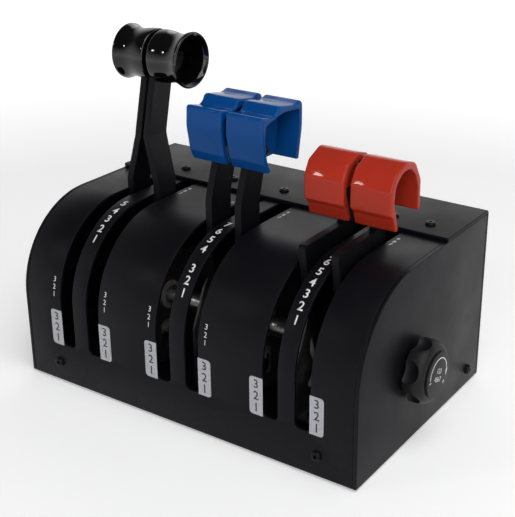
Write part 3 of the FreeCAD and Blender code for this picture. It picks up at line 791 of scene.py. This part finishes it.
# Side outlines of the hooded grips: outside first, from the front skirt to the rear one, then inside.
HOODS = {
    "propeller": ([
        at(54.0, 144.8, 0.9), at(50.4, 151.0, 8), at(47.6, 166.0, 14), at(48.4, 178.8, 1.8),
        at(62.4, 175.7, 5.2), at(65.6, 181.6, 3.2), at(81.4, 178.8, 12), at(90.0, 181.0, 3.2),
        at(89.9, 164.0, 30), at(85.9, 145.4, 1.2)], [
        at(82.0, 146.2, 1.2), at(86.4, 164.5, 30), at(86.6, 175.4, 3), at(70.0, 177.0, 18),
        at(51.4, 172.8, 3), at(50.8, 166.4, 12), at(53.4, 152.4, 8), at(56.8, 146.2, 0.9)]),
    "mixture": ([
        at(66.2, 122.2, 0.9), at(63.0, 130.4, 1.0), at(59.8, 133.4, 1.5), at(59.6, 147.2, 4),
        at(64.4, 155.4, 5), at(76.0, 160.4, 6), at(87.4, 157.0, 6), at(94.4, 145.6, 6),
        at(94.5, 127.4, 1.2)], [
        at(91.2, 127.4, 1.2), at(90.8, 141.0, 10), at(87.8, 148.8, 8), at(81.2, 155.0, 8),
        at(71.6, 155.0, 8), at(64.4, 149.0, 8), at(63.4, 140.0, 6), at(66.0, 131.8, 3),
        at(69.0, 123.4, 0.9)]),
}
BOSSES = {
    "propeller": [at(54.6, 149, 1), at(52.0, 153), at(49.5, 166), at(50.5, 174.5),
                  at(82.0, 176.0), at(78.0, 149, 1)],
    "mixture": [at(67.9, 141, 0.5), at(66.8, 152.5), at(72.0, 157.5), at(80.0, 157.5),
                at(87.0, 151.5), at(86.0, 141, 1)],
}


def rim_radii(points, outer, edge, least=0.0005, taper=0.4):
    """Radius of the end rims at each outline point: full outside, small inside and at the skirts."""
    radii = []
    for i, point in enumerate(points):
        run = min((point - points[0]).length, (point - points[outer - 1]).length)
        radii.append(min(edge, least + taper * run) if i < outer else least)
    return radii


def hood(name, corners, outside, x0, x1, edge, steps=5):
    """Open shell pulled along X, its end rims rounded by rings that step inward."""
    sets = [corner_points(corners, i) for i in range(len(corners))]
    points = [point for part in sets for point in part]
    radii = rim_radii(points, sum(len(part) for part in sets[:outside]), edge)
    turn = sum(a.cross(b) for a, b in zip(points, points[1:] + points[:1]))
    side = 1 if turn > 0 else -1
    shell = draw_side(name, corners, x0)
    rings = 2 * steps + 2
    step = (x1 - x0) / (rings - 1)
    edit_all(shell)
    for _ in range(rings - 1):
        bpy.ops.mesh.extrude_region_move(TRANSFORM_OT_translate={"value": (step, 0, 0)})
    done()
    places = {key(point): i for i, point in enumerate(points)}
    for vertex in shell.data.vertices:
        i = places[key(vertex.co.yz)]
        ring = round((vertex.co.x - x0) / step)
        turn = pi / 2 * min(ring, rings - 1 - ring) / steps
        along = (points[(i + 1) % len(points)] - points[i - 1]).normalized()
        inset = radii[i] * (1 - sin(turn))
        reach = radii[i] * (1 - cos(turn))
        vertex.co = Vector((x0 + reach if ring <= steps else x1 - reach,
                            vertex.co.y - side * along.y * inset, vertex.co.z + side * along.x * inset))
    edit_all(shell)
    outward()
    return shell


def key(pair):
    """Place of an outline point, rounded so that it can be looked up."""
    return round(pair[0], 5), round(pair[1], 5)


class QUADRANT_OT_hooded_grips(bpy.types.Operator):
    """Mould the blue propeller grips and the red mixture grips"""
    bl_idname = "quadrant.hooded_grips"
    bl_label = "Propeller and mixture grips"

    def execute(self, context):
        edge = context.scene.quadrant_grips.soft_edge
        wall = 0.0031
        for kind, centre in centres()[1:]:
            slot = {"propeller": "gloss_blue", "mixture": "gloss_red"}[kind]
            outside, inside = HOODS[kind]
            corners = outside + inside
            for hand, side in SIDES:
                name = kind + "_" + hand
                low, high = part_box("knob_" + name)
                grip = hood("grip_" + name, corners, len(outside), low.x, high.x, edge)
                inner = centre + side * (settings().slot_offset - ARM_THICK / 2 - wall)
                ends = sorted((inner, inner + side * (ARM_THICK + 2 * wall)))
                carve(grip, [side_solid("boss", BOSSES[kind], *ends)], "UNION")
                smooth(grip, 34)
                finish_piece(grip, "lever_" + name, slot, ["knob_" + name])
        return {"FINISHED"}


# ---------------- operators: friction knob, screws
KNOB_TURN = radians(-21)      # how far the knob stands turned, seen from its open end


def dial(radius, turn, x):
    """Point round the friction knob's axis; the turn runs from the top towards the front."""
    return Vector((x, PIVOT_Y - radius * sin(turn), PIVOT_Z + radius * cos(turn)))


class QUADRANT_OT_friction_knob(bpy.types.Operator):
    """Mould the lobed friction knob and its printed cap"""
    bl_idname = "quadrant.friction_knob"
    bl_label = "Friction knob"

    def execute(self, context):
        low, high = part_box("friction_knob")
        cap_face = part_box("friction_knob_cap")[1].x
        rear = Vector((low.x, PIVOT_Y, PIVOT_Z))
        length, radius, face, lip, straight = high.x - low.x, 0.0185, 0.0142, 0.0010, 0.0045
        outline = [(0.0, 0.0), (0.0, radius - lip)]
        outline += [(lip - lip * cos(turn), radius - lip + lip * sin(turn))
                    for turn in quarter(4, 1)]
        outline += [(straight + (length - straight) * sin(turn), face + (radius - face) * cos(turn))
                    for turn in quarter(16)]
        outline.append((length, 0.0))
        knob = turned("friction_grip", rear, 1, outline)
        scoop, depth, set_in, squash = 0.009, 0.0040, 0.003, 0.95
        tools = []
        for k in range(6):
            turn = pi / 3 * (k + 0.5) + KNOB_TURN
            clear_selection()
            bpy.ops.mesh.primitive_uv_sphere_add(
                segments=96, ring_count=48, radius=scoop,
                location=dial(radius + scoop - depth, turn, low.x + set_in))
            context.object.name = "scoop"
            context.object.scale.x = squash
            settle(context.object)
            tools.append(context.object)
        carve(knob, tools)
        soften(knob, 0.0007, 4, 30.0)
        finish_piece(knob, "draw_knob", "dark_plastic", ["friction_knob"])
        cap = bar("friction_cap", ((high.x + cap_face) / 2, PIVOT_Y, PIVOT_Z), (1, 0, 0),
                  face - 0.0006, cap_face - high.x, 120)
        soften(cap, 0.0004)
        finish_piece(cap, "draw_knob", "dark_plastic", ["friction_knob_cap"])
        return {"FINISHED"}


class QUADRANT_OT_screws(bpy.types.Operator):
    """Turn one button-head socket screw and set a copy in every seat"""
    bl_idname = "quadrant.screws"
    bl_label = "Screws"

    def execute(self, context):
        lid_x = (-0.102, -0.078, -0.039, 0.0, 0.039, 0.078, 0.102)
        corner_x = (-0.095, 0.095)
        seats = {
            "lid_screws": [((x, middle_of("lid_screws").y, LID_TOP), (0, 0, 1)) for x in lid_x],
            "front_screws": [((x, FRONT, middle_of("front_screws").z), (0, -1, 0)) for x in corner_x],
            "back_screws": [((x, BACK, middle_of("back_screws").z), (0, 1, 0)) for x in corner_x],
            "side_screws": [((side * HALF_WIDTH, *middle_of("side_screws").yz), (side, 0, 0))
                            for _, side in SIDES],
        }
        height, radius, crown, socket, socket_size = 0.0019, 0.0031, 0.0013, 0.0012, 0.0026
        model = bar("button_head", (0, 0, height / 2), (0, 0, 1), radius, height, 48)
        bevelled_edges(model, lambda a, b: min(a.z, b.z) > height - 0.0001, crown, 6)
        carve(model, [bar("hex", (0, 0, height), (0, 0, 1), socket, socket_size, 6)])
        smooth(model, 35)
        for group_name, places in seats.items():
            heads = []
            for place, way in places:
                head = model.copy()
                head.data = model.data.copy()
                context.collection.objects.link(head)
                head.rotation_euler = Vector((0, 0, 1)).rotation_difference(Vector(way)).to_euler()
                head.location = place
                settle(head)
                heads.append(head)
            heads = join(group_name[:-1] + "_heads", heads)
            finish_piece(heads, "housing", "black_screw", [group_name])
        bpy.data.objects.remove(model)
        return {"FINISHED"}


# ---------------- operators: markings
def figure(text, size, x, run, lift, fatten=0.0):
    """One printed figure, centred at x and run on the flat sheet that is wrapped on the cover."""
    clear_selection()
    bpy.ops.object.text_add(location=(0, 0, 0))
    obj = bpy.context.object
    obj.data.body = text
    obj.data.size = size
    obj.data.align_x = "CENTER"
    obj.data.align_y = "CENTER"
    obj.data.offset = fatten
    obj.data.resolution_u = 4
    bpy.ops.object.convert(target="MESH")
    obj = bpy.context.object
    obj.rotation_euler = (pi / 2, 0, 0)
    obj.location = (x, -lift, run)
    settle(obj)
    return obj


def inked(piece):
    """Give a flat print the thickness of its ink."""
    solid = piece.modifiers.new("ink", "SOLIDIFY")
    solid.thickness = 0.00004
    apply_modifier(piece, solid)
    return piece


def printed(name, parts, body, material):
    piece = inked(wrap(join(name, parts)))
    finish_piece(piece, body, material)
    return piece


# Places of the figures between each pair of slots, in millimetres up the sheet; they count down.
COLUMNS = {"power": (131, 122.5, 115, 107, 99.5), "propeller": (136.5, 128, 120, 112, 98.5, 91, 83.5),
           "mixture": (133, 126, 118, 110, 102.5, 95, 87)}
FIGURE_SIZE = 0.0075
# Rows of small figures beside the slots: text, size, distance from the group's centre, then the place of
# the first one and the step down to the next, in millimetres along the sheet.
LOW_ROW = ("321", 0.0046, 0.0205, 69, 4.7)
HIGH_ROW = ("987", 0.0042, 0.019, 172, 4.6)
PLATE_FOOT, PLATE_HEAD, PLATE_CORNER = 0.0255, 0.0492, 0.0022
PLATE_SIDES = (-0.0003, 0.0086)    # from the slot's outer edge
PLATE_ROW = ("321", FIGURE_SIZE, 44.6, 7.3)
CAP_ROWS = (("123", 0.0022), ("4567", -0.0026))
CAP_FIGURE_SIZE = 0.0042


def figure_row(texts, size, x, first, step, lift, fatten=0.0):
    """Printed figures one under the other, a step apart, in millimetres along the sheet."""
    return [figure(text, size, x, (first - step * k) * MM, lift, fatten) for k, text in enumerate(texts)]


class QUADRANT_OT_markings(bpy.types.Operator):
    """Print the plain figures and the white end plates beside the slots"""
    bl_idname = "quadrant.markings"
    bl_label = "Markings"

    def execute(self, context):
        own = settings()
        lift = context.scene.quadrant_markings.lift
        white, grey, plates = [], [], []
        slot_edge = own.slot_offset + own.slot_width / 2
        for kind, centre in centres():
            runs = COLUMNS[kind]
            for number, run in zip(range(len(runs), 0, -1), runs):
                white.append(figure(str(number), FIGURE_SIZE, centre, run * MM, lift, 0.00012))
            for _, side in SIDES:
                rows = (HIGH_ROW,) if kind == "mixture" else (LOW_ROW, HIGH_ROW)
                for texts, size, offset, first, step in rows:
                    white += figure_row(texts, size, centre + side * offset, first, step, lift)
                x0, x1 = (centre + side * (slot_edge + reach) for reach in PLATE_SIDES)
                outline = [(x0, PLATE_FOOT, 0), (x0, PLATE_HEAD, 0), (x1, PLATE_HEAD, PLATE_CORNER),
                           (x1, PLATE_FOOT, PLATE_CORNER)]
                if side < 0:
                    outline.reverse()
                plates.append(draw("end_plate", [Vector((p.x, -lift, p.y)) for p in rounded(outline)]))
                texts, size, first, step = PLATE_ROW
                grey += figure_row(texts, size, (x0 + x1) / 2, first, step, lift + 0.00005, 0.0001)
        self.print_cap(lift)
        printed("white_figures", white, "housing", "white_ink")
        printed("white_end_plates", plates, "housing", "plate_ink")
        printed("grey_figures", grey, "housing", "grey_ink")
        return {"FINISHED"}

    def print_cap(self, lift):
        """Mark of the friction knob: an arc with its arrow, minus, plus and two rows of figures."""
        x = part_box("friction_knob_cap")[1].x + lift
        start, end, tip = (radians(a) + KNOB_TURN for a in (107, -71, -95))
        turns = [start + (end - start) * k / 40 for k in range(41)]
        ring, half_line, barb = 0.0100, 0.0003, 0.0010
        rims = ((ring + half_line, turns), (ring - half_line, turns[::-1]))
        shapes = [[dial(r, turn, x) for r, row in rims for turn in row],
                  [dial(ring - barb, end, x), dial(ring + barb, end, x), dial(ring, tip, x)]]
        long, short = 0.0011, 0.00032
        for turn, radius, limbs in ((116, ring, 1), (-116, 0.0095, 2)):
            middle = dial(radius, radians(turn) + KNOB_TURN, x)
            for limb in range(limbs):
                wide, high = (long, short) if limb == 0 else (short, long)
                shapes.append([middle + Vector((0, a * wide, b * high))
                               for a, b in ((-1, -1), (1, -1), (1, 1), (-1, 1))])
        marks = [draw("mark", points) for points in shapes]
        for text, row in CAP_ROWS:
            mark = figure(text, CAP_FIGURE_SIZE, 0, 0, 0)
            mark.rotation_euler = (0, 0, pi / 2)
            settle(mark)
            mark.rotation_euler = (KNOB_TURN, 0, 0)
            mark.location = dial(row, KNOB_TURN, x)
            settle(mark)
            marks.append(mark)
        piece = inked(join("friction_marks", marks))
        finish_piece(piece, "draw_knob", "white_ink")


# ---------------- operator: stage
# Soft boxes: name, place, size, and share of the lamp setting.
LAMPS = (("key", (0.75, -0.35, 1.6), 1.2, 1.0), ("front", (1.0, -1.5, 0.9), 1.4, 0.8),
         ("glint", (-0.82, -1.15, 0.88), 0.12, 0.10), ("rear", (-0.5, 1.3, 1.1), 1.0, 0.22))
LAMP_AIM = Vector((0, 0, 0.08))
CAMERA_PLACE = (0.3610, -0.5063, 0.3506)
CAMERA_DOWN, CAMERA_ROUND = 22.84, 33.54      # degrees below level, and round to the right
CAMERA_SHIFT = (-0.058, -0.0302)
FLOOR_SIZE = 14.0
FLOOR_GLOW = (0.45, 1.3, 0.30, 1.0)           # nearest and farthest place, and the glow at each
ROOM_EDGE = (0.28, 0.62)                      # heights where the bright room ends and the ceiling starts
ROOM_LEAN = 0.3                               # how much higher that edge stands at the back
WHITE = (1.0, 1.0, 1.0, 1.0)


def coordinate(tree, kind):
    return tree.nodes.new("ShaderNodeTexCoord").outputs[kind]


class QUADRANT_OT_stage(bpy.types.Operator):
    """Set the floor, the soft lamps and the camera"""
    bl_idname = "quadrant.stage"
    bl_label = "Stage"

    def execute(self, context):
        own = context.scene.quadrant_stage
        self.lay_floor(own)
        self.light_room(context.scene, own)
        for name, place, size, share in LAMPS:
            clear_selection()
            bpy.ops.object.light_add(type="AREA", location=place)
            lamp = context.object
            lamp.name = name + "_soft_box"
            lamp.data.size = size
            lamp.data.energy = own.lamp * share
            lamp.rotation_euler = (LAMP_AIM - Vector(place)).to_track_quat("-Z", "Y").to_euler()
        clear_selection()
        bpy.ops.object.camera_add(location=CAMERA_PLACE)
        camera = context.object
        camera.name = "view"
        camera.rotation_euler = (radians(90 - CAMERA_DOWN), 0, radians(CAMERA_ROUND))
        camera.data.lens = own.focal
        camera.data.sensor_width = 36.0
        camera.data.shift_x, camera.data.shift_y = CAMERA_SHIFT
        camera.data.clip_start = 0.01
        context.scene.camera = camera
        context.scene.view_settings.view_transform = "Standard"
        return {"FINISHED"}

    def lay_floor(self, own):
        """White paper that glows where only the camera and reflections see it."""
        clear_selection()
        floor_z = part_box("rubber_feet")[0].z
        bpy.ops.mesh.primitive_plane_add(size=FLOOR_SIZE, location=(0, 0, floor_z))
        floor = bpy.context.object
        floor.name = "floor"
        material, tree, bsdf = shader("floor_paper")
        fill(bsdf, Base_Color=(*own.floor, 1.0), Roughness=0.9, Specular_IOR_Level=0.0,
             Emission_Color=WHITE)
        seen = tree.nodes.new("ShaderNodeLightPath").outputs
        mirrored = calc(tree, "MAXIMUM", seen["Is Glossy Ray"], seen["Is Transmission Ray"])
        shown = calc(tree, "MAXIMUM", seen["Is Camera Ray"], mirrored)
        span = tree.nodes.new("ShaderNodeVectorMath")
        span.operation = "LENGTH"
        tree.links.new(coordinate(tree, "Object"), span.inputs[0])
        glow = remap(tree, span.outputs["Value"], *FLOOR_GLOW)
        tree.links.new(calc(tree, "MULTIPLY", shown, glow), bsdf.inputs["Emission Strength"])
        floor.data.materials.append(material)

    def light_room(self, scene, own):
        """World that is bright near the horizon and dark overhead, and plain white to the camera."""
        world = bpy.data.worlds.new("studio")
        world.use_nodes = True
        scene.world = world
        tree = world.node_tree
        sky = fill(tree.nodes["Background"], Color=WHITE)
        path = tree.nodes.new("ShaderNodeLightPath").outputs
        way = tree.nodes.new("ShaderNodeSeparateXYZ")
        tree.links.new(coordinate(tree, "Generated"), way.inputs["Vector"])
        lean = calc(tree, "MULTIPLY", way.outputs["Y"], ROOM_LEAN)
        height = calc(tree, "SUBTRACT", way.outputs["Z"], lean)
        backdrop = remap(tree, height, *ROOM_EDGE, 1.0, own.ceiling)
        level = remap(tree, path["Is Glossy Ray"], 0.0, 1.0, own.room, 1.0)
        lit = calc(tree, "MULTIPLY", backdrop, level)
        tree.links.new(calc(tree, "MAXIMUM", lit, path["Is Camera Ray"]), sky.inputs["Strength"])


class QUADRANT_PT_panel(bpy.types.Panel):
    """Sidebar panel with the settings and every making step"""
    bl_idname = "QUADRANT_PT_panel"
    bl_label = "Throttle quadrant"
    bl_space_type = "VIEW_3D"
    bl_region_type = "UI"
    bl_category = "Quadrant"

    def draw(self, context):
        scene = context.scene
        for title, own in (("Housing", scene.quadrant_housing), ("Grips", scene.quadrant_grips),
                           ("Markings", scene.quadrant_markings), ("Stage", scene.quadrant_stage)):
            area = self.layout.box()
            area.label(text=title)
            for name in own.bl_rna.properties.keys():
                if name not in ("rna_type", "name"):
                    area.prop(own, name)
        for maker in MAKERS:
            self.layout.operator(maker.bl_idname)


PROPERTY_GROUPS = (("quadrant_housing", HousingSettings), ("quadrant_grips", GripSettings),
                   ("quadrant_markings", MarkingSettings), ("quadrant_stage", StageSettings))
MAKERS = (QUADRANT_OT_finishes, QUADRANT_OT_cover, QUADRANT_OT_shell, QUADRANT_OT_inside,
          QUADRANT_OT_arms, QUADRANT_OT_power_grips, QUADRANT_OT_hooded_grips,
          QUADRANT_OT_friction_knob, QUADRANT_OT_screws, QUADRANT_OT_markings, QUADRANT_OT_stage)


def register():
    for name, settings_class in PROPERTY_GROUPS:
        bpy.utils.register_class(settings_class)
        setattr(bpy.types.Scene, name, PointerProperty(type=settings_class))
    for maker in MAKERS:
        bpy.utils.register_class(maker)
    bpy.utils.register_class(QUADRANT_PT_panel)


def unregister():
    bpy.utils.unregister_class(QUADRANT_PT_panel)
    for maker in reversed(MAKERS):
        bpy.utils.unregister_class(maker)
    for name, settings_class in reversed(PROPERTY_GROUPS):
        delattr(bpy.types.Scene, name)
        bpy.utils.unregister_class(settings_class)


def main():
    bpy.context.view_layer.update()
    register()
    for maker in MAKERS:
        area, step = maker.bl_idname.split(".")
        getattr(getattr(bpy.ops, area), step)()


if __name__ == "__main__":
    main()
